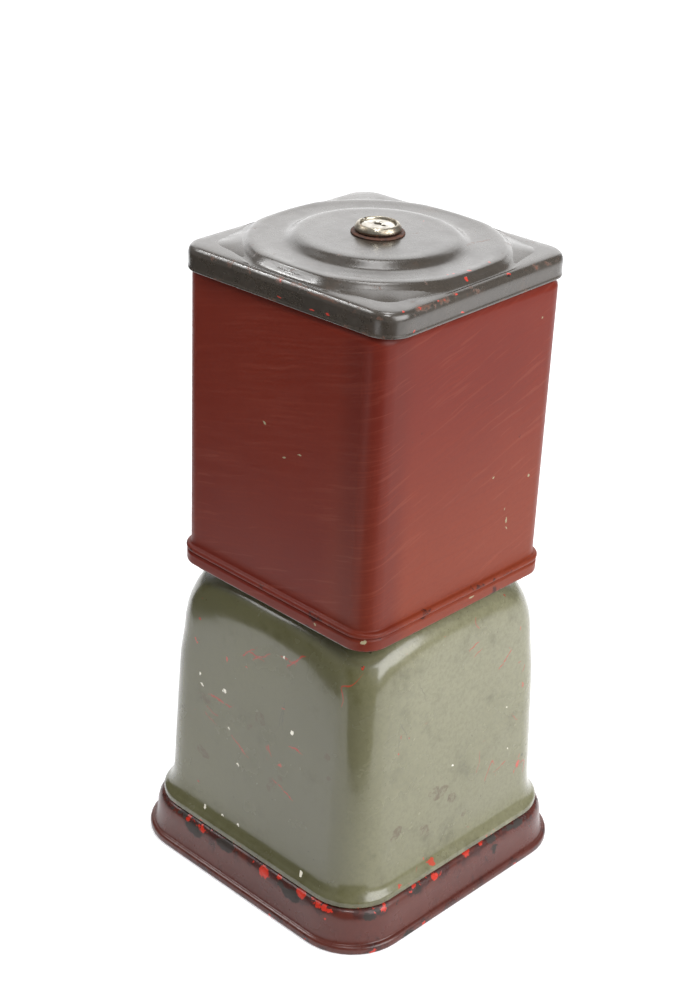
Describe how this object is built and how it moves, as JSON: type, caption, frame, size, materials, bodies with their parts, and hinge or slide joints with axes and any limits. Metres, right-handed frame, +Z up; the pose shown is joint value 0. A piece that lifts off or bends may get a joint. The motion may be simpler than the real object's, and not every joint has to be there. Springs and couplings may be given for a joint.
{
  "type": "bulk vending machine",
  "caption": "Square countertop sweet and nut vending machine: flared plinth, domed pedestal with coin mechanism and chute, sheet steel canister and stepped keyed lid.",
  "frame": {"origin": "centre of the underside of the base plate", "axes": "+Z up along the centre rod; the coin mechanism and product door face -Y; +X to the right seen from the front"},
  "size_m": [0.19, 0.199, 0.3814],
  "materials": {
    "maroon_enamel": "worn glossy maroon enamel over steel",
    "green_enamel": "worn glossy sage green enamel, red undercoat in the scratches",
    "canister_enamel": "brushed-on semi-gloss red brown enamel",
    "lid_enamel": "glossy dark grey brown enamel",
    "nickel": "tarnished nickel plate",
    "plain_steel": "bare pressed steel, dull",
    "rusty_steel": "rusted washer",
    "cast_metal": "satin cast zinc and aluminium",
    "brass": "dull brass"
  },
  "bodies": {
    "base": {"plinth": "maroon_enamel", "base_plate": "plain_steel", "base_screws": "plain_steel", "rod_socket": "plain_steel", "centre_rod": "plain_steel", "body_shell": "green_enamel", "corner_brackets": "plain_steel", "body_screws": "plain_steel", "hopper_pan": "plain_steel", "wheel_bushing": "brass", "wheel_collar": "plain_steel", "discharge_guard": "plain_steel", "coin_faceplate": "cast_metal", "faceplate_screws": "plain_steel", "mechanism_back_plate": "plain_steel", "mechanism_pillars": "plain_steel", "pawl_pivot": "plain_steel", "pawl_spring": "plain_steel", "product_chute": "plain_steel", "chute_housing": "cast_metal", "door_pin": "plain_steel", "chute_screws": "plain_steel"},
    "canister": {"canister": "canister_enamel"},
    "lid": {"lid": "lid_enamel", "lock_washer": "rusty_steel", "lock_collar": "nickel", "lock_nut": "plain_steel"},
    "lock_plug": {"lock_plug": "nickel"},
    "handle": {"coin_handle": "nickel", "handle_shaft": "plain_steel", "coin_carrier": "brass", "ratchet_wheel": "brass", "drive_pinion": "brass", "shaft_clip": "plain_steel"},
    "wheel": {"product_wheel": "cast_metal", "agitator": "plain_steel"},
    "pawl": {"ratchet_pawl": "plain_steel"},
    "chute_door": {"chute_door": "nickel"}
  },
  "joints": [
    {"name": "canister_lift", "type": "slide", "parent": "base", "child": "canister", "axis": [0, 0, 1], "range_m": [0, 0.19]},
    {"name": "lid_lift", "type": "slide", "parent": "canister", "child": "lid", "axis": [0, 0, 1], "range_m": [0, 0.06]},
    {"name": "lock_turn", "type": "hinge", "parent": "lid", "child": "lock_plug", "pos_m": [0, 0, 0.376], "axis": [0, 0, 1], "range_deg": [0, 90]},
    {"name": "handle_turn", "type": "hinge", "parent": "base", "child": "handle", "pos_m": [0, -0.075, 0.1312], "axis": [0, 1, 0], "continuous": true},
    {"name": "wheel_turn", "type": "hinge", "parent": "base", "child": "wheel", "pos_m": [0, 0, 0.143], "axis": [0, 0, 1], "continuous": true},
    {"name": "pawl_swing", "type": "hinge", "parent": "base", "child": "pawl", "pos_m": [-0.02, -0.0735, 0.116], "axis": [0, -1, 0], "range_deg": [0, 12], "stiffness_Nm_per_rad": 0.01, "springref_deg": -11.46, "deforming": ["pawl_spring"]},
    {"name": "door_swing", "type": "hinge", "parent": "base", "child": "chute_door", "pos_m": [0, -0.093, 0.0725], "axis": [-1, 0, 0], "range_deg": [0, 75]}
  ],
  "couplings": [
    {"joint": "wheel_turn", "follows": "handle_turn", "ratio": 0.125}
  ]
}
